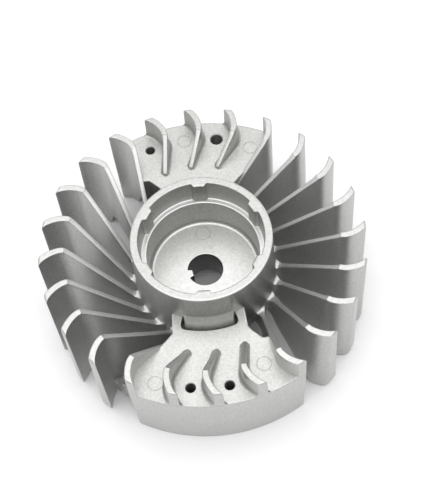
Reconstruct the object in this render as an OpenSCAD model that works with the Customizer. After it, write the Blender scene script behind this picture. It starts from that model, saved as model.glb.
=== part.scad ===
// Die-cast fan flywheel with a central starter cup.
// +Z runs along the crank axis, towards the cup's mouth.
// The origin is on that axis, in the plane that the lower fin corners stand on.
// -Y is the direction of the middle of the counterweight's two holes.

/* [Fan] */
// Diameter over the fin tips
fan_d = 105; // [103:0.5:108]
// Height of the fins' level top edge
fin_top_z = 37; // [36:0.5:39]
// Mean thickness of a fin
fin_t = 2.2; // [1.6:0.1:2.8]
// Angle by which the fins lead the counterweight's holes
fin_lead = 3.1; // [0:0.1:6]
// Radius at which a fin bends
kink_r = 44; // [42:0.5:46]
// Angle by which the bend trails the tip
kink_trail = 4.4; // [2:0.1:7]
// Angle by which the root leads the tip
root_lead = 13.6; // [8:0.1:16]
// Angle through which the blade curves between its bend and its tip
blade_turn = 45; // [10:1:60]
// Height of the undercut below the fins
undercut_h = 5.5; // [3:0.5:8]

/* [Starter cup] */
// Outer diameter of the cup
cup_d = 46; // [45:0.5:47]
// Height of the cup's rim
cup_top_z = 40.4; // [39:0.1:42]
// Inner diameter at the rim
mouth_d = 40; // [39:0.5:41]
// Inner diameter below the ledge
well_d = 36.2; // [35:0.1:37]
// Height of the ledge
ledge_z = 31.2; // [28:0.1:33]
// Height of the floor that the nut seats on
floor_z = 19; // [18:0.5:20]
// Width of a drive lug
lug_w = 4.4; // [3:0.1:6]
// Height of a drive lug from the wall
lug_h = 1.3; // [0.8:0.1:1.8]

/* [Crank hub] */
// Small-end diameter of the tapered bore
bore_small_d = 11.5; // [10:0.1:13]
// Taper of the bore: length for one unit of diameter
taper_ratio = 10; // [8:1:20]
// Diameter of the boss below the cup
boss_d = 22; // [18:0.5:26]
// Height of the boss's lower face
boss_z = 6.5; // [4:0.5:9]
// Width of the cast key
key_w = 2.8; // [2:0.1:3.5]
// Height of the cast key from the bore's wall
key_h = 1.5; // [1:0.1:2]

/* [Sectors] */
// Height of the sectors' upper face
deck_z = 28.2; // [26:0.1:30]
// Thickness of the sectors' deck
deck_t = 5; // [4:0.5:7]
// Inner radius of the counterweight's solid block
weight_block_r = 35; // [33:0.5:39]
// Inner radius of the magnet sector's block, set so that the two sectors balance
magnet_block_r = 41.2; // [40:0.2:42]
// Diameter of the counterweight's two holes
weight_hole_d = 3; // [2.5:0.1:3.5]
// Distance between the counterweight's two holes
weight_hole_gap = 12; // [10:0.5:14]
// Distance of those two holes from the crank axis
weight_hole_y = 45.8; // [44:0.1:47]

/* [Magnet set] */
// Width of a pole shoe
pole_w = 8; // [6:0.5:9]
// Height of the pole shoes and the magnet
pole_h = 12; // [10:0.5:14]
// Depth of a pole shoe along the radius
pole_depth = 9; // [8:0.5:10]
// Thickness of the magnet
magnet_t = 5; // [4:0.5:6]
// Diameter of the pins through the pole shoes
pin_d = 2.4; // [2:0.1:2.8]

/* [Hidden] */
$fn = 96;

fin_count = 24;
pitch = 360 / fin_count;
fan_r = fan_d / 2;
cup_r = cup_d / 2;
bore_r = bore_small_d / 2;
cut = 1;            // overrun of every cutting shape

// Fins 10 to 14 stand on or beside the counterweight, fins 22 to 2 the magnet sector.
front_fin = 12;
front_az = 270;
front_first = 10;
front_last = 14;
rear_turn = 180;

// The fin's side outline
root_r = 24;
root_top_z = 17.5;
root_low_z = 13;
undercut_in_r = 27;
undercut_out_r = 45;
foot_r = 46.5;
root_pad_t = 4.4;   // a fin widens into a small land at the cup
pad_end_r = 26.5;

// The rim of the cup has a rounded outer edge
rim_round = 1;
rim_step = 0.6;

// The sectors' arms, between which a slot and two gaps go right through
slot_out_r = 26.8;
slot_first = -15;
slot_last = 18.7;

// The cup's wall widens inside each slot
flare_r = 25.8;
flare_low_z = 25;
flare_high_z = 28;

// A web joins the last long fin to the counterweight's first fin
web_fin = 9;
web_in_r = 43.6;
web_out_r = 46.2;
web_low_z = 2.5;
web_fin_z = 8;
web_high_z = 15.5;
web_turn = 7.5;

// Outlines of the two gaps, as [radius, angle from -Y], each along an arm from the cup
first_gap_line = [[18, -28], [23, -28.5], [29.1, -22.4], [32.4, -24.4], [36, -40], [18, -50]];
last_gap_line = [[18, 31], [23, 31.5], [29, 26.3], [30.8, 27], [34.9, 29.5], [38, 42], [18, 52]];

// The magnet sector's two holes, as angles from +Y, over the pole shoes
pole_r = 45.6;
leading_turn = -8.05;
trailing_turn = 21.05;
leading_hole_d = 4;
trailing_hole_d = 3;
pole_z = 7;
lug_count = 6;
key_az = 194;
pin_head = 1;

function polar(r, a) = [r * cos(a), r * sin(a)];
function tip_az(k) = front_az + fin_lead + pitch * (k - front_fin);
function mix(p, q, t) = p + (q - p) * t;
function unit(v) = v / norm(v);
function left(v) = [-v.y, v.x];

// Centre line of a fin with its tip on +X: straight from root to bend, then an arc to the tip
fin_root = polar(root_r, root_lead);
fin_bend = polar(kink_r, -kink_trail);
fin_tip = polar(fan_r, 0);
fin_in = fin_root + unit(fin_root - fin_bend) * 3;
pad_end = mix(fin_root, fin_bend, (pad_end_r - root_r) / (kink_r - root_r));
blade_r = norm(fin_tip - fin_bend) / 2 / sin(blade_turn / 2);
blade_steps = 6;
chord_az = atan2(fin_tip.y - fin_bend.y, fin_tip.x - fin_bend.x);
blade_centre = fin_bend + polar(blade_r, chord_az - blade_turn / 2 + 90);
fin_out = blade_point(1) + polar(3, chord_az + blade_turn / 2);
in_side = left(unit(fin_bend - fin_in));
function blade_az(t) = chord_az + blade_turn * (t - 0.5);
function blade_point(t) = blade_centre - polar(blade_r, blade_az(t) + 90);
function blade_edge(side) = [
    for (i = [1 : blade_steps]) blade_point(i / blade_steps) + polar(side, blade_az(i / blade_steps) + 90)
];
bend_side = unit(in_side + polar(1, blade_az(0) + 90));
out_side = polar(1, blade_az(1) + 90);
function backwards(list) = [for (i = [len(list) - 1 : -1 : 0]) list[i]];

module turned(k) {
    rotate([0, 0, tip_az(k)]) children();
}

// A fin seen from above, wider at the cup
module fin_plan() {
    half = fin_t / 2;
    pad = root_pad_t / 2;
    polygon(concat(
        [fin_in + in_side * pad, pad_end + in_side * half, fin_bend + bend_side * half],
        blade_edge(half),
        [fin_out + out_side * half, fin_out - out_side * half],
        backwards(blade_edge(-half)),
        [fin_bend - bend_side * half, pad_end - in_side * half, fin_in - in_side * pad]
    ));
}

// Everything that the side outline, a list of [radius, height], sweeps round the axis
module swept(outline) {
    rotate_extrude() polygon(outline);
}

// A fin that runs the whole way from the cup to the rim
module long_fin(k) {
    color("silver") intersection() {
        turned(k) translate([0, 0, -cut]) linear_extrude(fin_top_z + 2 * cut) fin_plan();
        swept([
            [cup_r, root_low_z], [undercut_in_r, undercut_h], [undercut_out_r, undercut_h],
            [foot_r, 0], [fan_r, 0], [fan_r, fin_top_z],
            [kink_r, fin_top_z], [root_r, root_top_z], [cup_r, root_top_z]
        ]);
    }
}

module webbed_fin(k) {
    color("silver") {
        long_fin(k);
        web();
    }
}

// A fin that stands on a sector's deck
slope_foot_r = mix(root_r, kink_r, (deck_z - root_top_z) / (fin_top_z - root_top_z));
module deck_fin(k) {
    color("silver") intersection() {
        turned(k) linear_extrude(fin_top_z + cut) fin_plan();
        swept([
            [slope_foot_r, deck_z], [fan_r, deck_z], [fan_r, fin_top_z], [kink_r, fin_top_z]
        ]);
    }
}

// The web between the last long fin and the counterweight, lower at the long fin
module web() {
    from = tip_az(web_fin) - kink_trail;
    width = 2 * web_out_r * sin(pitch / 2);
    difference() {
        intersection() {
            swept([
                [web_in_r, web_low_z], [web_out_r, web_low_z], [web_out_r, web_high_z], [web_in_r, web_high_z]
            ]);
            linear_extrude(web_high_z + cut) polygon([[0, 0], polar(fan_d, from), polar(fan_d, from + pitch)]);
            rotate([0, 0, from + web_turn]) rotate([90, 0, 90]) linear_extrude(fan_r) polygon([
                [-width / 2, web_low_z - cut], [width / 2, web_low_z - cut],
                [width / 2, web_high_z], [-width / 2, web_fin_z]
            ]);
        }
        turned(web_fin + 1) translate([0, 0, -cut]) linear_extrude(fin_top_z) fin_plan();
    }
}

// Quarter-round corner of radius r about [x, y], from angle a over 90 degrees
function corner(x, y, r, a) = [for (i = [0 : 6]) [x + r * cos(a + 15 * i), y + r * sin(a + 15 * i)]];

module hub_cup() {
    well_r = well_d / 2;
    mouth_r = mouth_d / 2;
    bore_end_r = bore_r + (floor_z - boss_z) / taper_ratio / 2;
    color("silver") {
        rotate_extrude() polygon(concat(
            [[bore_end_r, boss_z], [boss_d / 2, boss_z], [boss_d / 2, root_low_z], [cup_r, root_low_z]],
            [[cup_r, cup_top_z - rim_round * 2]],
            corner(cup_r - rim_step - rim_round, cup_top_z - rim_round, rim_round, 0),
            [[mouth_r, cup_top_z], [mouth_r, ledge_z], [well_r, ledge_z], [well_r, floor_z], [bore_r, floor_z]]
        ));
        for (i = [0 : lug_count - 1]) rotate([0, 0, front_az + 360 / lug_count * i]) drive_lug();
        for (a = [0, rear_turn]) rotate([0, 0, a]) cup_flare();
        rotate([0, 0, key_az]) cast_key();
    }
}

module cup_flare() {
    sink = 0.5;     // depth of the flare inside the wall
    intersection() {
        swept([
            [cup_r - sink, root_low_z], [flare_r, root_low_z], [flare_r, flare_low_z],
            [cup_r, flare_high_z], [cup_r - sink, flare_high_z]
        ]);
        linear_extrude(flare_high_z + cut) polygon([
            [0, 0], polar(2 * flare_r, front_az + slot_first), polar(2 * flare_r, front_az),
            polar(2 * flare_r, front_az + slot_last)
        ]);
    }
}

module drive_lug() {
    mouth_r = mouth_d / 2;
    sink = 1;       // depth of the lug inside the wall
    intersection() {
        translate([mouth_r - lug_h, -lug_w / 2, ledge_z - sink]) cube([lug_h + sink, lug_w, cup_top_z - ledge_z + sink]);
        cylinder(r = cup_r - rim_step - rim_round, h = cup_top_z);
    }
}

module cast_key() {
    sink = 1.5;     // depth of the key inside the hub
    translate([bore_r - key_h, -key_w / 2, boss_z]) cube([key_h + sink, key_w, floor_z - boss_z]);
}

// The area between the centre lines of a sector's first and last fins
module between_fins() {
    reach = 4;
    a = tip_az(front_first);
    b = tip_az(front_last);
    function turn(p, t) = [p.x * cos(t) - p.y * sin(t), p.x * sin(t) + p.y * cos(t)];
    intersection() {
        circle(r = fan_r);
        polygon(concat(
            [for (p = concat([fin_in, fin_bend], blade_edge(0))) turn(p, a)],
            [for (k = [front_first : front_last]) polar(fan_r + reach, tip_az(k))],
            [for (p = concat(backwards(blade_edge(0)), [fin_bend, fin_in])) turn(p, b)]
        ));
    }
}

// A gap that goes through beside an arm
module gap(line) {
    polygon([for (p = line) polar(p[0], front_az + p[1])]);
}

// The slot between the arms
module slot() {
    mid_r = (cup_r + slot_out_r) / 2;
    difference() {
        union() {
            intersection() {
                circle(r = slot_out_r);
                polygon([
                    [0, 0], polar(2 * slot_out_r, front_az + slot_first),
                    polar(2 * slot_out_r, front_az), polar(2 * slot_out_r, front_az + slot_last)
                ]);
            }
            for (a = [slot_first, slot_last]) translate(polar(mid_r, front_az + a)) circle(r = slot_out_r - mid_r);
        }
        circle(r = cup_r);
    }
}

// A sector without its holes: deck, arms and the solid block at the rim
module sector(block_r) {
    difference() {
        union() {
            translate([0, 0, deck_z - deck_t]) linear_extrude(deck_t) difference() {
                between_fins();
                circle(r = cup_r);
                gap(first_gap_line);
                gap(last_gap_line);
                slot();
            }
            linear_extrude(deck_z) difference() {
                between_fins();
                circle(r = block_r);
            }
        }
        for (k = [front_first, front_last]) {
            turned(k) translate([0, 0, -cut]) linear_extrude(fin_top_z) fin_plan();
        }
    }
}

module counterweight_sector() {
    color("silver") difference() {
        sector(weight_block_r);
        for (s = [-1, 1]) {
            translate([s * weight_hole_gap / 2, -weight_hole_y, -cut])
                cylinder(d = weight_hole_d, h = deck_z + 2 * cut);
        }
    }
}

// Directions of the two pole shoes
leading_az = front_az + rear_turn + leading_turn;
trailing_az = front_az + rear_turn + trailing_turn;

module pole_shoe(az) {
    intersection() {
        rotate([0, 0, az]) translate([fan_r - pole_depth, -pole_w / 2, pole_z]) cube([pole_depth + cut, pole_w, pole_h]);
        cylinder(r = fan_r, h = deck_z);
    }
}

module pole_pin(az) {
    translate([0, 0, pole_z]) translate(polar(pole_r, az)) cylinder(d = pin_d, h = pole_h + pin_head);
}

module magnet_bar() {
    mid_az = (leading_az + trailing_az) / 2;
    length = 2 * (fan_r - pole_depth + magnet_t) * sin((trailing_az - leading_az) / 2) + pole_w;
    difference() {
        rotate([0, 0, mid_az]) translate([fan_r - pole_depth - 1, -length / 2, pole_z]) cube([magnet_t, length, pole_h]);
        rotate([0, 0, leading_az]) translate([fan_r - 2 * pole_depth, -3 * pole_w + pole_w / 2, 0])
            cube([3 * pole_depth, 3 * pole_w, deck_z]);
        rotate([0, 0, trailing_az]) translate([fan_r - 2 * pole_depth, -pole_w / 2, 0])
            cube([3 * pole_depth, 3 * pole_w, deck_z]);
    }
}

module magnet_sector() {
    color("silver") difference() {
        rotate([0, 0, rear_turn]) sector(magnet_block_r);
        for (az = [leading_az, trailing_az]) {
            pole_shoe(az);
            pole_pin(az);
        }
        magnet_bar();
        sector_hole(leading_az, leading_hole_d);
        sector_hole(trailing_az, trailing_hole_d);
    }
}

// A hole from the deck down to the head of a pin
module sector_hole(az, d) {
    head_z = pole_z + pole_h + pin_head;
    translate([0, 0, head_z]) translate(polar(pole_r, az)) cylinder(d = d, h = deck_z);
}

module magnet() {
    color("dimgray") magnet_bar();
}

module pole_shoe_leading() {
    color("slategray") difference() {
        pole_shoe(leading_az);
        pole_pin(leading_az);
    }
}

module pole_shoe_trailing() {
    color("slategray") difference() {
        pole_shoe(trailing_az);
        pole_pin(trailing_az);
    }
}

module pole_pins() {
    color("lightgray") for (az = [leading_az, trailing_az]) pole_pin(az);
}

hub_cup();
counterweight_sector();
magnet_sector();
deck_fin(1);  // fin_01
long_fin(2);  // fin_02
long_fin(3);  // fin_03
long_fin(4);  // fin_04
long_fin(5);  // fin_05
long_fin(6);  // fin_06
long_fin(7);  // fin_07
long_fin(8);  // fin_08
webbed_fin(9);  // fin_09
long_fin(10);  // fin_10
deck_fin(11);  // fin_11
deck_fin(12);  // fin_12
deck_fin(13);  // fin_13
long_fin(14);  // fin_14
long_fin(15);  // fin_15
long_fin(16);  // fin_16
long_fin(17);  // fin_17
long_fin(18);  // fin_18
long_fin(19);  // fin_19
long_fin(20);  // fin_20
long_fin(21);  // fin_21
long_fin(22);  // fin_22
deck_fin(23);  // fin_23
deck_fin(24);  // fin_24
magnet();
pole_shoe_leading();
pole_shoe_trailing();
pole_pins();
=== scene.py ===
import math

import bmesh
import bpy
from mathutils import Matrix, Vector


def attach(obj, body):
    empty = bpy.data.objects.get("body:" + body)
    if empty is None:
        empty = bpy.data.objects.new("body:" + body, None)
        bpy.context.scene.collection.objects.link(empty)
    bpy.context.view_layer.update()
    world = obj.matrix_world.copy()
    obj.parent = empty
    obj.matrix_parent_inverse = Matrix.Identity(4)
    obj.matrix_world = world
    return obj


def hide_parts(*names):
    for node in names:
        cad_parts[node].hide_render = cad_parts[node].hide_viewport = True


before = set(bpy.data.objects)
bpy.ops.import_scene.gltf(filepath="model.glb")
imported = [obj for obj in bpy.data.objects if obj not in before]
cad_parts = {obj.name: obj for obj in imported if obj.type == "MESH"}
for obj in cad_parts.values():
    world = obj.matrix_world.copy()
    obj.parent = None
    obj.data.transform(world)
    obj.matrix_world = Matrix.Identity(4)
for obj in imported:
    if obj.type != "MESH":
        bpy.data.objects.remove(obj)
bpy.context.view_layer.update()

mm = 0.001
roundSteps = 48
scene = bpy.context.scene


# Shapes are drawn in millimetres, and toObject turns them into metres.
def polar(radius, degrees):
    angle = math.radians(degrees)
    return Vector((radius * math.cos(angle), radius * math.sin(angle)))


def blend(low, high, value):
    share = min(1.0, max(0.0, (value - low) / (high - low)))
    return share * share * (3.0 - 2.0 * share)


# A closed line through points given as (x, y, radius of its corner)
def roundedLine(points, steps=6):
    line = []
    for place, (x, y, radius) in enumerate(points):
        corner = Vector((x, y))
        before = (Vector(points[place - 1][:2]) - corner).normalized()
        after = (Vector(points[(place + 1) % len(points)][:2]) - corner).normalized()
        half = before.angle(after) / 2.0
        if radius <= 0.0 or half > math.radians(88.0):
            line.append(corner)
            continue
        reach = radius / math.tan(half)
        centre = corner + (before + after).normalized() * (radius / math.sin(half))
        start = corner + before * reach - centre
        end = corner + after * reach - centre
        sweep = start.angle_signed(end)
        for step in range(steps + 1):
            turned = start.copy()
            turned.rotate(Matrix.Rotation(-sweep * step / steps, 2))
            line.append(centre + turned)
    return line


def toObject(bm, name, node, materials, sharp=38.0, choose=None):
    bmesh.ops.remove_doubles(bm, verts=bm.verts, dist=0.0005)
    bmesh.ops.recalc_face_normals(bm, faces=bm.faces)
    for face in bm.faces:
        face.smooth = True
        face.material_index = choose(face) if choose else 0
    for edge in bm.edges:
        flat = any(abs(face.normal.z) > 0.99995 for face in edge.link_faces)
        wide = len(edge.link_faces) == 2 and edge.calc_face_angle(0.0) > math.radians(sharp)
        edge.smooth = not (wide or (flat and edge.calc_face_angle(0.0) > 0.002))
    bmesh.ops.scale(bm, vec=Vector((mm, mm, mm)), verts=bm.verts)
    mesh = bpy.data.meshes.new(name)
    bm.to_mesh(mesh)
    bm.free()
    piece = bpy.data.objects.new(name, mesh)
    scene.collection.objects.link(piece)
    for material in materials:
        mesh.materials.append(material)
    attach(piece, "root")
    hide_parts(node)


# A body of revolution from a line of (radius, height); an open line starts and ends on the axis
def spinLine(bm, line, steps, closed=True):
    verts = [bm.verts.new((point[0], 0.0, point[1])) for point in line]
    first = 0 if closed else 1
    edges = [bm.edges.new((verts[i - 1], verts[i])) for i in range(first, len(verts))]
    bmesh.ops.spin(
        bm, geom=verts + edges, cent=(0, 0, 0), axis=(0, 0, 1), dvec=(0, 0, 0),
        angle=math.tau, steps=steps, use_merge=True, use_duplicate=False)


# Moves a part's mesh into the mesh that it belongs to
def joinPart(bm, part):
    joined = bpy.data.meshes.new("part")
    part.to_mesh(joined)
    part.free()
    bm.from_mesh(joined)
    bpy.data.meshes.remove(joined)


# A round plug on an upright axis, from an open line of (radius, height)
def addPlug(bm, line, place):
    part = bmesh.new()
    spinLine(part, line, roundSteps, closed=False)
    bmesh.ops.remove_doubles(part, verts=part.verts, dist=0.0005)
    bmesh.ops.translate(part, vec=Vector((place[0], place[1], 0.0)), verts=part.verts)
    joinPart(bm, part)


def turnAboutZ(bm, verts, degrees):
    turned = Matrix.Rotation(math.radians(degrees), 3, "Z")
    bmesh.ops.rotate(bm, cent=(0, 0, 0), matrix=turned, verts=verts)


# Draws a flat outline up or across into a solid
def extrudeOutline(bm, corners, across):
    face = bm.faces.new([bm.verts.new(corner) for corner in corners])
    made = bmesh.ops.extrude_face_region(bm, geom=[face])
    moved = [item for item in made["geom"] if isinstance(item, bmesh.types.BMVert)]
    bmesh.ops.translate(bm, vec=Vector(across), verts=moved)


# Adds a row of vertices where a plane crosses the mesh
def cutAcross(bm, place, across):
    return bmesh.ops.bisect_plane(
        bm, geom=bm.verts[:] + bm.edges[:] + bm.faces[:], plane_co=place, plane_no=across, dist=0.0001)


# A faint raised ring that an ejector pin leaves
mark = {"foot": 0.36, "top": 0.12, "sunk": 0.3, "rise": 0.13}


def addMark(bm, place, height, radius):
    ring = bmesh.new()
    spinLine(ring, [
        (radius - mark["foot"], -mark["sunk"]), (radius + mark["foot"], -mark["sunk"]),
        (radius + mark["top"], mark["rise"]), (radius - mark["top"], mark["rise"])], roundSteps)
    bmesh.ops.translate(ring, vec=Vector((place[0], place[1], height)), verts=ring.verts)
    joinPart(bm, ring)


# A metal with a fine grain and slow changes of roughness
def castMaterial(name, settings):
    material = bpy.data.materials.new(name)
    material.use_nodes = True
    tree = material.node_tree
    shader = tree.nodes["Principled BSDF"]
    place = tree.nodes.new("ShaderNodeTexCoord")
    grain = tree.nodes.new("ShaderNodeTexNoise")
    grain.inputs["Scale"].default_value = settings["grainScale"]
    grain.inputs["Detail"].default_value = 3.0
    cloud = tree.nodes.new("ShaderNodeTexNoise")
    cloud.inputs["Scale"].default_value = settings["cloudScale"]
    cloud.inputs["Detail"].default_value = 4.0
    tone = tree.nodes.new("ShaderNodeMapRange")
    tone.inputs["To Min"].default_value = settings["roughness"] - settings["roughSpread"]
    tone.inputs["To Max"].default_value = settings["roughness"] + settings["roughSpread"]
    ramp = tree.nodes.new("ShaderNodeMix")
    ramp.data_type = "RGBA"
    ramp.inputs["A"].default_value = settings["dark"]
    ramp.inputs["B"].default_value = settings["light"]
    bump = tree.nodes.new("ShaderNodeBump")
    bump.inputs["Strength"].default_value = settings["bump"]
    bump.inputs["Distance"].default_value = settings["bumpDepth"]
    links = tree.links
    links.new(place.outputs["Object"], grain.inputs["Vector"])
    links.new(place.outputs["Object"], cloud.inputs["Vector"])
    links.new(cloud.outputs["Fac"], tone.inputs["Value"])
    links.new(tone.outputs["Result"], shader.inputs["Roughness"])
    links.new(grain.outputs["Fac"], ramp.inputs["Factor"])
    links.new(ramp.outputs["Result"], shader.inputs["Base Color"])
    links.new(grain.outputs["Fac"], bump.inputs["Height"])
    links.new(bump.outputs["Normal"], shader.inputs["Normal"])
    shader.inputs["Metallic"].default_value = settings["metallic"]
    return material


aluminium = castMaterial("castAluminium", {
    "grainScale": 1500.0, "cloudScale": 90.0, "roughness": 0.42, "roughSpread": 0.07,
    "dark": (0.36, 0.36, 0.348, 1.0), "light": (0.64, 0.64, 0.625, 1.0),
    "bump": 0.35, "bumpDepth": 0.00012, "metallic": 0.92})
# Painted highlight: a lighter copy of the cast metal on edges and lands, standing in for the light they
# catch
edgeHighlightAluminium = castMaterial("edgeHighlightAluminium", {
    "grainScale": 1500.0, "cloudScale": 90.0, "roughness": 0.4, "roughSpread": 0.06,
    "dark": (0.64, 0.64, 0.63, 1.0), "light": (0.86, 0.86, 0.85, 1.0),
    "bump": 0.2, "bumpDepth": 0.0001, "metallic": 0.92})
# Painted light: a lighter copy of the cast metal for the cup's floor, which faces the overhead light
litFloorAluminium = castMaterial("litFloorAluminium", {
    "grainScale": 1500.0, "cloudScale": 260.0, "roughness": 0.4, "roughSpread": 0.07,
    "dark": (0.46, 0.46, 0.45, 1.0), "light": (0.75, 0.75, 0.735, 1.0),
    "bump": 0.35, "bumpDepth": 0.00012, "metallic": 0.92})
# Painted highlight: a slightly lighter copy of the cast metal for the upward faces on the fins' tops
topHighlightAluminium = castMaterial("topHighlightAluminium", {
    "grainScale": 1500.0, "cloudScale": 90.0, "roughness": 0.4, "roughSpread": 0.06,
    "dark": (0.4, 0.4, 0.39, 1.0), "light": (0.66, 0.66, 0.65, 1.0),
    "bump": 0.3, "bumpDepth": 0.0001, "metallic": 0.92})
# Painted shade: a darker copy of the cast metal for the cup's upright walls
shadedWallAluminium = castMaterial("shadedWallAluminium", {
    "grainScale": 1300.0, "cloudScale": 110.0, "roughness": 0.42, "roughSpread": 0.08,
    "dark": (0.24, 0.24, 0.228, 1.0), "light": (0.46, 0.46, 0.445, 1.0),
    "bump": 0.35, "bumpDepth": 0.00012, "metallic": 0.92})
# Painted shade: a much darker copy of the cast metal for the bore, where little light reaches
shadedBoreAluminium = castMaterial("shadedBoreAluminium", {
    "grainScale": 700.0, "cloudScale": 200.0, "roughness": 0.22, "roughSpread": 0.04,
    "dark": (0.13, 0.13, 0.125, 1.0), "light": (0.2, 0.2, 0.195, 1.0),
    "bump": 0.05, "bumpDepth": 0.00005, "metallic": 1.0})
magnetAlloy = castMaterial("magnetAlloy", {
    "grainScale": 1200.0, "cloudScale": 120.0, "roughness": 0.6, "roughSpread": 0.08,
    "dark": (0.07, 0.07, 0.075, 1.0), "light": (0.14, 0.14, 0.145, 1.0),
    "bump": 0.3, "bumpDepth": 0.0001, "metallic": 0.6})
poleSteel = castMaterial("poleSteel", {
    "grainScale": 900.0, "cloudScale": 150.0, "roughness": 0.34, "roughSpread": 0.06,
    "dark": (0.28, 0.28, 0.285, 1.0), "light": (0.42, 0.42, 0.43, 1.0),
    "bump": 0.15, "bumpDepth": 0.00005, "metallic": 1.0})
pinSteel = castMaterial("pinSteel", {
    "grainScale": 900.0, "cloudScale": 200.0, "roughness": 0.3, "roughSpread": 0.05,
    "dark": (0.42, 0.42, 0.43, 1.0), "light": (0.58, 0.58, 0.59, 1.0),
    "bump": 0.1, "bumpDepth": 0.00005, "metallic": 1.0})
print("materials made")


# Starter cup with its floor, boss, bore, lugs and key
hub = {
    "steps": 480, "boreTop": 5.75, "boreLow": 6.375, "floorZ": 19.0, "bossZ": 6.5, "bossR": 11.0,
    "underZ": 13.0, "outerLow": 23.35, "outerHigh": 22.6, "rimZ": 40.4,
    "mouthR": 20.1, "ledgeZ": 31.2, "ledgeR": 18.2, "wellR": 18.1,
    "lugCount": 6, "lugFirst": 270.0, "lugHalf": 2.2, "lugIn": 0.84, "lugSide": 0.45,
    "lugFoot": 0.45, "lugBack": 0.95,
    "flare": 2.95, "flareLow": 25.0, "flareHigh": 32.0, "flareFrom": -19.0, "flareTo": 22.7,
    "flareEase": 3.0, "keyAz": 194.0, "keyHalf": 1.4, "keySide": 0.1, "keyR": 4.2,
    "markR": 13.8, "markAz": 90.9, "markSize": 2.4, "dotR": 8.5, "dotAz": 74.9, "dotSize": 0.3}


# The turned shape of the cup, with rows close together where the wall flares
def hubLine():
    lean = (hub["outerLow"] - hub["outerHigh"]) / (hub["rimZ"] - hub["underZ"])
    rises = [2.0, 6.0, 9.0, 10.0, 11.0] + [row / 2.0 for row in range(23, 36)]
    wall = [(hub["outerLow"] - lean * rise, hub["underZ"] + rise, 0.0) for rise in rises]
    return roundedLine([
        (hub["boreTop"], hub["floorZ"], 0.3), (hub["boreLow"], hub["bossZ"], 0.4),
        (hub["bossR"], hub["bossZ"], 0.8), (hub["bossR"] + 0.5, hub["underZ"], 1.5),
        (hub["outerLow"], hub["underZ"], 0.8), *wall,
        (hub["outerHigh"], hub["rimZ"], 0.55), (hub["mouthR"], hub["rimZ"], 0.35),
        (hub["mouthR"], hub["ledgeZ"], 0.5), (hub["ledgeR"], hub["ledgeZ"], 0.4),
        (hub["wellR"], hub["floorZ"], 1.1)])


# The lugs stand in from the cup's mouth
def withLugs(radius, azimuth):
    pitch = 360.0 / hub["lugCount"]
    off = (azimuth - hub["lugFirst"] + pitch / 2.0) % pitch - pitch / 2.0
    away = abs(math.radians(off)) * hub["mouthR"]
    here = 1.0 - blend(hub["lugHalf"] - hub["lugSide"], hub["lugHalf"] + hub["lugSide"], away)
    foot = hub["ledgeR"] + hub["lugFoot"]
    if radius <= hub["mouthR"]:
        return foot + (radius - foot) * (1.0 - hub["lugIn"] * here)
    full = (hub["mouthR"] - foot) * hub["lugIn"]
    return radius - full * here * (hub["mouthR"] + hub["lugBack"] - radius) / hub["lugBack"]


# The outer wall widens inside the slot of either sector
def withFlare(radius, azimuth, height):
    off = (azimuth - 270.0 + 90.0) % 180.0 - 90.0
    here = blend(hub["flareFrom"], hub["flareFrom"] + hub["flareEase"], off)
    here *= 1.0 - blend(hub["flareTo"] - hub["flareEase"], hub["flareTo"], off)
    return radius + hub["flare"] * here * (1.0 - blend(hub["flareLow"], hub["flareHigh"], height))


# The cast key stands in from the tapered bore
def withKey(radius, azimuth, height):
    off = math.radians((azimuth - hub["keyAz"] + 180.0) % 360.0 - 180.0)
    away = abs(off) * hub["boreTop"]
    here = 1.0 - blend(hub["keyHalf"] - hub["keySide"], hub["keyHalf"] + hub["keySide"], away)
    if here <= 0.0:
        return radius
    rise = (hub["floorZ"] - height) / (hub["floorZ"] - hub["bossZ"])
    wall = hub["boreTop"] + (hub["boreLow"] - hub["boreTop"]) * rise
    return radius - here * (wall - hub["keyR"] / math.cos(off))


# Picks each face's material in the cup's list: painted shade in the bore and on the upright walls, painted
# light on the floor, painted highlight on the rim and ledge
def hubPaintedLight(face):
    middle = face.calc_center_median()
    radius = middle.xy.length
    steep = abs(face.normal.z)
    if radius < hub["boreLow"] + 0.2 and middle.z < hub["floorZ"] - 0.3:
        return 3
    if steep > 0.2 and radius < hub["wellR"] + 0.1 and middle.z > hub["floorZ"] - 0.4:
        return 2
    if steep < 0.25 and middle.z > hub["floorZ"]:
        return 4
    rim = radius > hub["outerHigh"] - 0.6 and middle.z > hub["rimZ"] - 0.6 and face.normal.z < 0.98
    ledge = abs(middle.z - hub["ledgeZ"]) < 0.45
    return 1 if (rim or ledge) and face.normal.z > 0.25 else 0


def makeHub():
    bm = bmesh.new()
    spinLine(bm, hubLine(), hub["steps"])
    for vert in bm.verts:
        x, y, z = vert.co
        radius = math.hypot(x, y)
        azimuth = math.degrees(math.atan2(y, x))
        moved = radius
        if z > hub["ledgeZ"] - 0.01 and hub["ledgeR"] + 0.4 < radius < hub["mouthR"] + hub["lugBack"]:
            moved = withLugs(radius, azimuth)
        if radius > hub["mouthR"] + 1.5 and z < hub["flareHigh"]:
            moved = withFlare(radius, azimuth, z)
        if radius < hub["boreLow"] + 0.5 and z > hub["bossZ"] - 0.01:
            moved = withKey(radius, azimuth, z)
        vert.co.x = x * moved / radius
        vert.co.y = y * moved / radius
    addMark(bm, polar(hub["markR"], hub["markAz"]), hub["floorZ"], hub["markSize"])
    addMark(bm, polar(hub["dotR"], hub["dotAz"]), hub["floorZ"], hub["dotSize"])
    toObject(
        bm, "hub_cup_look", "hub_cup",
        [aluminium, edgeHighlightAluminium, litFloorAluminium, shadedBoreAluminium, shadedWallAluminium], choose=hubPaintedLight)


makeHub()
print("cup made")


# The plan of a fin whose tip is on +X: straight from the cup, then a curved blade.
# A place on it is told by its distance along the fin, from where the fin meets the cup.
plan = {
    "count": 24, "firstAz": 108.1, "tipR": 52.5, "rootR": 24.0, "rootAz": 13.6, "bendR": 44.0,
    "bendAz": -4.4, "turn": 45.0, "ease": 2.4, "stride": 0.05, "inward": 4.0, "deckZ": 28.2, "topZ": 37.0}


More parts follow.
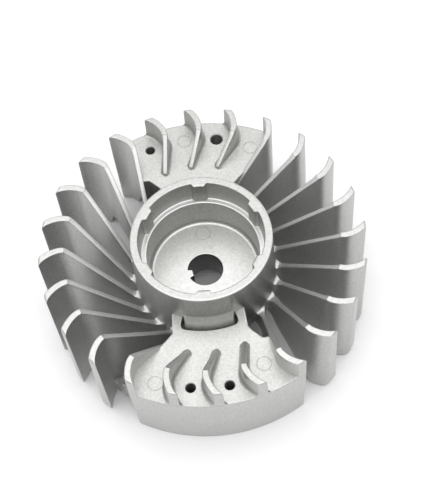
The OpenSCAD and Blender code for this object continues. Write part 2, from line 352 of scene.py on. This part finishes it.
def finLine():
    root = polar(plan["rootR"], plan["rootAz"])
    bend = polar(plan["bendR"], plan["bendAz"])
    tip = polar(plan["tipR"], 0.0)
    chord = tip - bend
    straightAz = math.degrees(math.atan2(bend.y - root.y, bend.x - root.x))
    chordAz = math.degrees(math.atan2(chord.y, chord.x))
    bendAt = (bend - root).length
    arc = chord.length / 2.0 / math.sin(math.radians(plan["turn"] / 2.0)) * math.radians(plan["turn"])
    length = bendAt + arc

    def heading(along):
        curved = chordAz - plan["turn"] / 2.0 + plan["turn"] * (along - bendAt) / arc
        share = min(1.0, max(0.0, (along - bendAt + plan["ease"]) / (2.0 * plan["ease"])))
        return straightAz + (curved - straightAz) * share if along < bendAt + plan["ease"] else curved

    points = [tip]
    steps = int(math.ceil((length + plan["inward"]) / plan["stride"]))
    for step in range(steps):
        along = length - (step + 0.5) * plan["stride"]
        points.append(points[-1] - polar(plan["stride"], heading(along)))
    return points, length, bendAt, heading


finPoints, finLength, finBend, finHeading = finLine()


def finPoint(along):
    if along >= finLength:
        return finPoints[0] + polar(along - finLength, finHeading(finLength))
    place = (finLength - along) / plan["stride"]
    low = min(int(place), len(finPoints) - 2)
    return finPoints[low].lerp(finPoints[low + 1], place - low)


# Where along the fin its middle line is at a radius from the crank axis, by halving
def alongAt(radius):
    low = 0.5 - plan["inward"]
    high = finLength
    for _ in range(40):
        middle = (low + high) / 2.0
        if finPoint(middle).length < radius:
            low = middle
        else:
            high = middle
    return (low + high) / 2.0


def tipAz(number):
    return plan["firstAz"] + 360.0 / plan["count"] * (number - 1)


# The two sectors, on whose rims four of the fins end
sector = {
    "rimR": 52.47, "rimFootR": 51.3, "footZ": 2.0, "deckT": 5.0, "edge": 0.45, "innerR": 22.0,
    "blockInR": 15.0, "weightBlockR": 35.0, "magnetBlockR": 41.2, "rimSteps": 96,
    "front": 270.0, "rear": 90.0, "firstFin": 10, "lastFin": 14, "firstTurn": -28.9, "lastTurn": 31.9,
    "finFrom": 34.9, "finStep": 0.75, "finRows": 24, "finClear": 36.3,
    "slotR": 26.8, "slotMidR": 24.6, "slotFirst": -15.0, "slotLast": 18.7, "slotEase": 2.0,
    "slotBend": 3.4, "slotEnd": 4.3, "below": -2.0, "holeEdge": 0.25, "holeDepth": 0.3,
    "holeAside": 6.0, "holeY": -45.8, "holeR": 1.5,
    "firstGap": ((23.0, -28.5, 0.0), (29.1, -22.4, 1.2), (32.4, -24.4, 1.0)),
    "lastGap": (
        (35.8, 33.2, 0.0), (34.9, 29.5, 1.0), (30.8, 27.0, 0.8), (29.0, 26.3, 0.8), (23.0, 31.5, 0.0)),
    "frontMarks": ((46.6, -111.15, 2.3), (42.8, -66.75, 2.3)),
    "rearMarks": ((45.65, 95.95, 2.3), (44.6, 66.65, 2.3))}

fin = {
    "rootTopZ": 17.5, "rootZ": 12.6, "rootInR": 22.3, "rootUpR": 22.7, "wallR": 23.1, "wallUp": 2.0,
    "underZ": 5.5, "underIn": 27.0, "underOut": 45.0, "footR": 46.6, "tipTop": 1.0, "tipFoot": 2.8,
    "rimFoot": 0.5, "edge": 0.75, "width": 1.55, "bladeWidth": 2.1, "widening": 3.0, "draft": 0.03,
    "fillet": 1.15, "landHalf": 1.5, "landR": 26.4, "landPower": 2.2, "step": 0.4, "trim": 4.0,
    "slopeFootR": 33.2, "footIn": 0.6, "taperR": 49.0, "taperLength": 3.5,
    # The first three values on the next line place the painted highlight on the fins' tops: from which
    # radius, how far below the top, and the least upward tilt
    "highlightFromR": 24.6, "highlightDepth": 1.5, "highlightTilt": 0.3, "coarseRow": 1.5, "fineRow": 0.45,
    "rows": (1.2, 3.5, 9.0, 14.0, 20.0, 26.0, 31.0, 35.0),
    "filletRows": (0.06, 0.2, 0.4, 0.7, 1.0, 1.3, 3.0, 6.0)}


alongRoot = alongAt(plan["rootR"])
alongKink = alongAt(plan["bendR"])
alongSlope = alongAt(fin["slopeFootR"])
footAt = alongSlope + fin["footIn"]


def topHeight(along):
    share = (along - alongRoot) / (alongKink - alongRoot)
    return fin["rootTopZ"] + (plan["topZ"] - fin["rootTopZ"]) * min(1.0, max(0.0, share))


# Rows of vertices across the fin, closest together where it curves
def cutRows(bm, deckFin):
    along = min(vert.co.x for vert in bm.verts) + 0.4
    while along < finLength - 0.3:
        cutAcross(bm, (along, 0.0, 0.0), (1.0, 0.0, 0.0))
        curved = along > finBend - 3.5 or along < 4.5 or (deckFin and along < footAt + 2.5)
        along += fin["fineRow"] if curved else fin["coarseRow"]
    heights = [plan["deckZ"] + rise for rise in fin["filletRows"]] if deckFin else fin["rows"]
    for height in heights:
        cutAcross(bm, (0.0, 0.0, height), (0.0, 0.0, 1.0))


# A short fin widens in a fillet down to the deck, and its inner end is round
def deckWidth(width, along, height):
    rise = max(0.0, height - plan["deckZ"])
    if rise < fin["fillet"]:
        left = fin["fillet"] - rise
        width += 2.0 * (fin["fillet"] - math.sqrt(fin["fillet"] ** 2 - left ** 2))
    inside = along - footAt
    half = width / 2.0
    if inside < half:
        width = 2.0 * math.sqrt(max(0.02, half ** 2 - (half - max(0.0, inside)) ** 2))
    return width


# Shapes a plate drawn as (along, side, height) into the curved fin
def bendFin(bm, deckFin, rimFin):
    lean = math.tan(math.radians(finHeading(finLength)))
    for vert in bm.verts:
        along, side, height = vert.co
        outer = blend(finBend - fin["widening"], finBend + fin["widening"], along)
        width = fin["width"] + (fin["bladeWidth"] - fin["width"]) * outer
        if not rimFin:
            width += fin["draft"] * (topHeight(along) - height)
        if deckFin:
            width = deckWidth(width, along, height)
            if along < footAt + 0.1:
                vert.co.z = min(height, plan["deckZ"] - 0.12)
        away = side * width / 2.0
        if along > finLength - fin["trim"]:
            along += (along - finLength + fin["trim"]) / fin["trim"] * away * lean
        place = finPoint(along) + polar(1.0, finHeading(along) + 90.0) * away
        radius = place.length
        if not deckFin and radius < fin["landR"]:
            share = min(1.25, (fin["landR"] - radius) / (fin["landR"] - fin["wallR"]))
            spread = side * fin["landHalf"] * share ** fin["landPower"]
            place += Vector((-place.y, place.x)) / radius * spread
        if rimFin and radius > fin["taperR"]:
            drop = (sector["rimR"] - sector["rimFootR"]) * max(0.0, plan["deckZ"] - height) / plan["deckZ"]
            place *= 1.0 - (drop * (radius - fin["taperR"]) / fin["taperLength"] + 0.01) / radius
        vert.co.x = place.x
        vert.co.y = place.y


def makeFin(outline, deckFin, rimFin):
    bm = bmesh.new()
    extrudeOutline(bm, [(along, -1.0, height) for along, height in outline], (0.0, 2.0, 0.0))
    bmesh.ops.recalc_face_normals(bm, faces=bm.faces)
    edges = [edge for edge in bm.edges if abs(edge.verts[0].co.y - edge.verts[1].co.y) < 0.1]
    bmesh.ops.bevel(
        bm, geom=edges, offset=fin["edge"], segments=3, profile=0.5, affect="EDGES", material=-1,
        clamp_overlap=True)
    cutRows(bm, deckFin)
    bendFin(bm, deckFin, rimFin)
    return bm


# The outline of a fin from the cup to its tip, with the radius of its lower outer corner
def longOutline(foot):
    rootIn = alongAt(fin["rootInR"])
    wallTop = fin["rootTopZ"] + fin["wallUp"]
    return roundedLine([
        (rootIn, fin["rootZ"], 0.0), (alongAt(fin["underIn"]), fin["underZ"], 1.5),
        (alongAt(fin["underOut"]), fin["underZ"], 1.2), (alongAt(fin["footR"]), 0.0, 1.5),
        (finLength, 0.0, foot), (finLength, plan["topZ"], fin["tipTop"]),
        (alongKink + 0.2, plan["topZ"], 0.3), (alongKink - 0.2, plan["topZ"] - fin["step"], 0.3),
        (alongRoot + 0.6, fin["rootTopZ"] + 0.2, 1.5), (alongAt(fin["wallR"]), fin["rootTopZ"] + 0.5, 0.8),
        (alongAt(fin["rootUpR"]), wallTop, 0.0), (rootIn, wallTop, 0.0)], 5)


freeOutline = longOutline(fin["tipFoot"])
rimOutline = longOutline(fin["rimFoot"])
deckOutline = roundedLine([
    (alongSlope - 0.9, plan["deckZ"] - 0.5, 0.0), (finLength, plan["deckZ"] - 0.5, 0.0),
    (finLength, plan["topZ"], fin["tipTop"]), (alongKink + 0.2, plan["topZ"], 0.3),
    (alongKink - 0.2, plan["topZ"] - fin["step"], 0.3), (alongSlope - 0.4, plan["deckZ"] + 0.05, 0.3)], 3)
deckFins = (1, 11, 12, 13, 23, 24)
rimFins = (2, 10, 14, 22)


# The web that joins a fin to the counterweight, with a rough upper edge
web = {
    "fin": 9, "inR": 43.7, "outR": 46.2, "lowZ": 2.6, "finZ": 8.0, "highZ": 15.5, "from": 225.0,
    "to": 238.6, "rough": 0.5, "edge": 0.12, "rows": 24}


def addWeb(bm):
    part = bmesh.new()
    bmesh.ops.create_cube(part, size=1.0)
    bmesh.ops.bevel(
        part, geom=part.edges[:], offset=web["edge"], segments=2, profile=0.5, affect="EDGES", material=-1)
    for row in range(1, web["rows"]):
        cutAcross(part, (row / web["rows"] - 0.5, 0.0, 0.0), (1.0, 0.0, 0.0))
    for vert in part.verts:
        share = vert.co.x + 0.5
        top = web["finZ"] + (web["highZ"] - web["finZ"]) * share
        top += web["rough"] * math.sin(share * 31.0) * math.sin(share * 13.0 + vert.co.y * 4.0)
        height = web["lowZ"] + (top - web["lowZ"]) * (vert.co.z + 0.5)
        radius = web["inR"] + (web["outR"] - web["inR"]) * (vert.co.y + 0.5)
        place = polar(radius, web["from"] + (web["to"] - web["from"]) * share)
        vert.co = (place.x, place.y, height)
    joinPart(bm, part)


# Picks each face's material in a long fin's list: painted highlight on the flat outer top, the sloped top
# and the web's top
def longFinPaintedLight(face):
    middle = face.calc_center_median()
    radius = middle.xy.length
    upward = face.normal.z
    onWeb = web["inR"] - 0.5 < radius < web["outR"] + 0.3
    if onWeb and web["finZ"] - 1.0 < middle.z < web["highZ"] + 1.5 and upward > 0.5:
        return 1
    if upward <= fin["highlightTilt"]:
        return 0
    if radius > plan["bendR"] and middle.z > plan["topZ"] - fin["highlightDepth"]:
        return 2
    rise = (plan["topZ"] - fin["rootTopZ"]) / (plan["bendR"] - plan["rootR"])
    level = fin["rootTopZ"] + (radius - plan["rootR"]) * rise
    onSlope = fin["highlightFromR"] < radius < plan["bendR"] + 0.2
    return 1 if onSlope and middle.z > level - fin["highlightDepth"] else 0


# The same for a short fin: painted highlight on its sloped top faces
def deckFinPaintedLight(face):
    middle = face.calc_center_median()
    onTop = middle.z > plan["deckZ"] + fin["highlightDepth"]
    return 2 if onTop and fin["highlightTilt"] < face.normal.z < 0.97 else 0


for number in range(1, plan["count"] + 1):
    deckFin = number in deckFins
    rimFin = number in rimFins
    outline = deckOutline if deckFin else rimOutline if rimFin else freeOutline
    finMesh = makeFin(outline, deckFin, rimFin)
    turnAboutZ(finMesh, finMesh.verts, tipAz(number))
    if number == web["fin"]:
        addWeb(finMesh)
    toObject(
        finMesh, "fin_%02d_look" % number, "fin_%02d" % number,
        [aluminium, edgeHighlightAluminium, topHighlightAluminium], choose=deckFinPaintedLight if deckFin else longFinPaintedLight)
print("fins made")


# A sector seen from above: gap, fin, rim, fin, gap and slot, from its first side to its last
def sectorOutline(middle):
    line = []

    def corners(points):
        for radius, turn, corner in points:
            line.append((*polar(radius, middle + turn), corner))

    def arc(radius, first, last, steps):
        for step in range(steps + 1):
            line.append((*polar(radius, middle + first + (last - first) * step / steps), 0.0))

    def alongFin(number, radii):
        for radius in radii:
            point = finPoint(alongAt(radius)).copy()
            point.rotate(Matrix.Rotation(math.radians(middle - sector["front"] + tipAz(number)), 2))
            line.append((*point, 0.0))

    slotR = sector["slotR"] + 0.05
    first = sector["slotFirst"]
    last = sector["slotLast"]
    radii = [sector["finFrom"] + sector["finStep"] * row for row in range(sector["finRows"])]
    corners(((sector["innerR"], sector["firstTurn"], 0.0), *sector["firstGap"]))
    alongFin(sector["firstFin"], radii)
    arc(
        sector["rimR"], tipAz(sector["firstFin"]) - sector["front"],
        tipAz(sector["lastFin"]) - sector["front"], sector["rimSteps"])
    alongFin(sector["lastFin"], [radius for radius in reversed(radii) if radius > sector["finClear"]])
    corners((*sector["lastGap"], (sector["innerR"], sector["lastTurn"], 0.0)))
    corners((
        (sector["innerR"], last + sector["slotEnd"], 0.0),
        (sector["slotMidR"], last + sector["slotEnd"], 1.0), (slotR, last + sector["slotBend"], 1.7)))
    arc(sector["slotR"], last - sector["slotEase"], first + sector["slotEase"], 16)
    corners((
        (slotR, first - sector["slotBend"], 1.7), (sector["slotMidR"], first - sector["slotEnd"], 1.0),
        (sector["innerR"], first - sector["slotEnd"], 0.0)))
    return roundedLine(line)


# A cutter for a hole with a slightly broken edge at the deck
def holeCutter(bm, place, size, low):
    top = plan["deckZ"]
    wide = size + sector["holeEdge"]
    line = [
        (0.0, low), (size, low), (size, top - sector["holeDepth"]), (wide, top), (wide, top + 2.0),
        (0.0, top + 2.0)]
    addPlug(bm, line, place)


def addBox(bm, azimuth, low, high):
    made = bmesh.ops.create_cube(bm, size=1.0)
    bmesh.ops.scale(bm, vec=Vector(high) - Vector(low), verts=made["verts"])
    bmesh.ops.translate(bm, vec=(Vector(low) + Vector(high)) / 2.0, verts=made["verts"])
    turnAboutZ(bm, made["verts"], azimuth)


def meshObject(bm, name):
    bmesh.ops.recalc_face_normals(bm, faces=bm.faces)
    mesh = bpy.data.meshes.new(name)
    bm.to_mesh(mesh)
    bm.free()
    made = bpy.data.objects.new(name, mesh)
    scene.collection.objects.link(made)
    return made


# The mesh of an object with its modifiers and bevels applied
def finishedMesh(item):
    bpy.context.view_layer.update()
    mesh = bpy.data.meshes.new_from_object(item.evaluated_get(bpy.context.evaluated_depsgraph_get()))
    bpy.data.objects.remove(item)
    bm = bmesh.new()
    bm.from_mesh(mesh)
    return bm


# The outline drawn up into a block with rounded edges, its rim a little smaller at the foot
def sectorBlock(name, middle):
    shape = bpy.data.curves.new(name, "CURVE")
    shape.dimensions = "2D"
    shape.fill_mode = "BOTH"
    shape.extrude = plan["deckZ"] / 2.0 - sector["edge"]
    shape.bevel_depth = sector["edge"]
    shape.bevel_resolution = 2
    shape.offset = -sector["edge"]
    outline = sectorOutline(middle)
    spline = shape.splines.new("POLY")
    spline.points.add(len(outline) - 1)
    for place, point in enumerate(outline):
        spline.points[place].co = (point.x, point.y, 0.0, 1.0)
    spline.use_cyclic_u = True
    drawn = bpy.data.objects.new(name, shape)
    scene.collection.objects.link(drawn)
    block = finishedMesh(drawn)
    bmesh.ops.remove_doubles(block, verts=block.verts, dist=0.0005)
    bmesh.ops.translate(block, vec=Vector((0.0, 0.0, plan["deckZ"] / 2.0)), verts=block.verts)
    pull = sector["rimFootR"] / sector["rimR"]
    for vert in block.verts:
        if vert.co.xy.length > sector["rimFootR"] - 0.8 and vert.co.z < sector["footZ"]:
            vert.co.x *= pull
            vert.co.y *= pull
    return block


# Picks each face's material in a sector's list: painted highlight on the rounded lip of the slot
def sectorPaintedLight(face):
    middle = face.calc_center_median()
    lip = middle.xy.length < sector["slotR"] + 0.4 and middle.z > plan["deckZ"] - sector["edge"]
    return 1 if lip and 0.15 < face.normal.z < 0.9999 else 0


def makeSector(node, middle, blockR, holes, pockets, marks):
    body = meshObject(sectorBlock(node, middle), node + "_body")
    underDeck = plan["deckZ"] - sector["deckT"]
    cutter = bmesh.new()
    spinLine(cutter, [
        (sector["blockInR"], sector["below"]), (blockR, sector["below"]), (blockR, underDeck),
        (sector["blockInR"], underDeck)], 192)
    for place, size, low in holes:
        holeCutter(cutter, place, size, low)
    cutters = [meshObject(cutter, node + "_cutter")]
    for azimuth, low, high in pockets:
        pocket = bmesh.new()
        addBox(pocket, azimuth, low, high)
        cutters.append(meshObject(pocket, node + "_pocket"))
    for item in cutters:
        change = body.modifiers.new("cut", "BOOLEAN")
        change.operation = "DIFFERENCE"
        change.solver = "EXACT"
        change.object = item
    bm = finishedMesh(body)
    for item in cutters:
        bpy.data.objects.remove(item)
    for radius, azimuth, size in marks:
        addMark(bm, polar(radius, azimuth), plan["deckZ"], size)
    toObject(bm, node + "_look", node, [aluminium, edgeHighlightAluminium], 30.0, sectorPaintedLight)


# Two laminated pole shoes with a pin through each and the magnet between them
magnetSet = {
    "leading": 81.95, "trailing": 111.05, "poleR": 45.6, "width": 8.0, "depth": 9.0, "height": 12.0,
    "lowZ": 7.0, "play": 0.03, "holeRs": (2.0, 1.5), "holeLow": 9.0,
    "faceR": 52.4, "faceTurns": (-4.36, -2.2, 0.0, 2.2, 4.36), "sheets": 18, "grooveHalf": 0.07,
    "groove": 0.06, "pinR": 1.2, "pinHead": 1.0, "pinLow": 8.0, "pinEdge": 0.3, "magnetT": 5.0,
    "magnetHalf": 7.6, "magnetBack": 0.9, "magnetGap": 0.1, "magnetEdge": 0.3}
poleTop = magnetSet["lowZ"] + magnetSet["height"]
poleBack = plan["tipR"] - magnetSet["depth"]
poleHalf = magnetSet["width"] / 2.0
poleAzimuths = (magnetSet["leading"], magnetSet["trailing"])

weightHoles = [
    ((side * sector["holeAside"], sector["holeY"]), sector["holeR"], sector["below"]) for side in (-1, 1)]
magnetHoles = [
    (polar(magnetSet["poleR"], azimuth), size, magnetSet["holeLow"])
    for azimuth, size in zip(poleAzimuths, magnetSet["holeRs"])]
pocketHalf = poleHalf + magnetSet["play"]
magnetPockets = [
    (azimuth, (poleBack, -pocketHalf, magnetSet["lowZ"]), (plan["tipR"] + 3.0, pocketHalf, poleTop))
    for azimuth in poleAzimuths]
makeSector(
    "counterweight_sector", sector["front"], sector["weightBlockR"], weightHoles, [], sector["frontMarks"])
makeSector(
    "magnet_sector", sector["rear"], sector["magnetBlockR"], magnetHoles, magnetPockets, sector["rearMarks"])
print("sectors made")


def makePole(node, azimuth):
    bm = bmesh.new()
    corners = [(*polar(magnetSet["faceR"], turn), magnetSet["lowZ"]) for turn in magnetSet["faceTurns"]]
    corners += [(poleBack + 0.02, side * poleHalf, magnetSet["lowZ"]) for side in (1, -1)]
    extrudeOutline(bm, corners, (0.0, 0.0, magnetSet["height"]))
    sheet = magnetSet["height"] / magnetSet["sheets"]
    grooves = []
    for step in range(1, magnetSet["sheets"]):
        for shift in (-magnetSet["grooveHalf"], 0.0, magnetSet["grooveHalf"]):
            cut = cutAcross(bm, (0.0, 0.0, magnetSet["lowZ"] + sheet * step + shift), (0.0, 0.0, 1.0))
            if shift == 0.0:
                grooves += [item for item in cut["geom_cut"] if isinstance(item, bmesh.types.BMVert)]
    for vert in grooves:
        vert.co.x -= magnetSet["groove"] if vert.co.x > 50.0 else -magnetSet["groove"]
    for vert in bm.verts:
        vert.co.y = max(-poleHalf, min(poleHalf, vert.co.y))
        vert.co.z = max(magnetSet["lowZ"] + 0.01, min(poleTop - 0.01, vert.co.z))
    turnAboutZ(bm, bm.verts, azimuth)
    toObject(bm, node + "_look", node, [poleSteel], 20.0)


def makePins():
    top = poleTop + magnetSet["pinHead"]
    size = magnetSet["pinR"]
    edge = magnetSet["pinEdge"]
    line = [
        (0.0, magnetSet["pinLow"]), (size, magnetSet["pinLow"]), (size, top - edge), (size - edge, top),
        (0.0, top)]
    bm = bmesh.new()
    for azimuth in poleAzimuths:
        addPlug(bm, line, polar(magnetSet["poleR"], azimuth))
    toObject(bm, "pole_pins_look", "pole_pins", [pinSteel])


def makeMagnet():
    low = poleBack - magnetSet["magnetBack"]
    half = magnetSet["magnetHalf"]
    bm = bmesh.new()
    addBox(
        bm, sum(poleAzimuths) / 2.0, (low, -half, magnetSet["lowZ"] + magnetSet["magnetGap"]),
        (low + magnetSet["magnetT"], half, poleTop - magnetSet["magnetGap"]))
    bmesh.ops.bevel(
        bm, geom=bm.edges[:], offset=magnetSet["magnetEdge"], segments=2, profile=0.5, affect="EDGES",
        material=-1)
    toObject(bm, "magnet_look", "magnet", [magnetAlloy])


makePole("pole_shoe_leading", magnetSet["leading"])
makePole("pole_shoe_trailing", magnetSet["trailing"])
makePins()
makeMagnet()
print("magnet set made")


# Pale table
tableLook = {"tone": (0.86, 0.86, 0.87, 1.0), "roughness": 0.55, "half": 3000.0}
table = bmesh.new()
bmesh.ops.create_grid(table, x_segments=1, y_segments=1, size=tableLook["half"] * mm)
tableMesh = bpy.data.meshes.new("table")
table.to_mesh(tableMesh)
table.free()
tableTop = bpy.data.objects.new("table", tableMesh)
scene.collection.objects.link(tableTop)
tableTop.location.z = -0.00002
tableMaterial = bpy.data.materials.new("paleTable")
tableMaterial.use_nodes = True
tableShader = tableMaterial.node_tree.nodes["Principled BSDF"]
tableShader.inputs["Base Color"].default_value = tableLook["tone"]
tableShader.inputs["Roughness"].default_value = tableLook["roughness"]
tableMesh.materials.append(tableMaterial)

# Soft daylight from all round with a large light overhead
light = {
    "sky": 0.68, "skyTone": (1.0, 1.0, 1.0, 1.0), "power": 18.0, "size": 2.0, "place": (0.0, -0.05, 1.1)}
world = bpy.data.worlds.new("world")
scene.world = world
world.use_nodes = True
world.node_tree.nodes["Background"].inputs["Color"].default_value = light["skyTone"]
world.node_tree.nodes["Background"].inputs["Strength"].default_value = light["sky"]
lamp = bpy.data.lights.new("overhead", "AREA")
lamp.shape = "SQUARE"
lamp.size = light["size"]
lamp.energy = light["power"]
lampObject = bpy.data.objects.new("overhead", lamp)
scene.collection.objects.link(lampObject)
lampObject.location = light["place"]
lampObject.rotation_euler = (-Vector(light["place"])).to_track_quat("-Z", "Y").to_euler()

# Camera
eye = {
    "place": (0.0, -190.1, 366.3), "elevation": 62.567, "roll": -7.883, "aside": 0.838, "up": 2.071,
    "turn": 4.35, "lens": 86.23}
tilt = math.radians(eye["elevation"])
forward = Vector((0.0, math.cos(tilt), -math.sin(tilt)))
right = Vector((1.0, 0.0, 0.0))
upward = right.cross(forward)
forward = (forward + right * math.radians(eye["aside"]) + upward * math.radians(eye["up"])).normalized()
right = forward.cross(upward).normalized()
upward = right.cross(forward)
roll = math.radians(eye["roll"])
axisX = right * math.cos(roll) + upward * math.sin(roll)
axisY = upward * math.cos(roll) - right * math.sin(roll)
spin = Matrix.Rotation(math.radians(eye["turn"]), 3, "Z")
axes = Matrix((spin @ axisX, spin @ axisY, spin @ -forward)).transposed()
cameraData = bpy.data.cameras.new("camera")
cameraData.sensor_fit = "AUTO"
cameraData.sensor_width = 36.0
cameraData.lens = eye["lens"]
cameraData.clip_start = 0.01
cameraData.clip_end = 20.0
camera = bpy.data.objects.new("camera", cameraData)
scene.collection.objects.link(camera)
camera.matrix_world = Matrix.Translation(spin @ Vector(eye["place"]) * mm) @ axes.to_4x4()
scene.camera = camera
scene.view_settings.view_transform = "Standard"
scene.view_settings.look = "None"
scene.view_settings.exposure = 0.0
print("table, light and camera set")
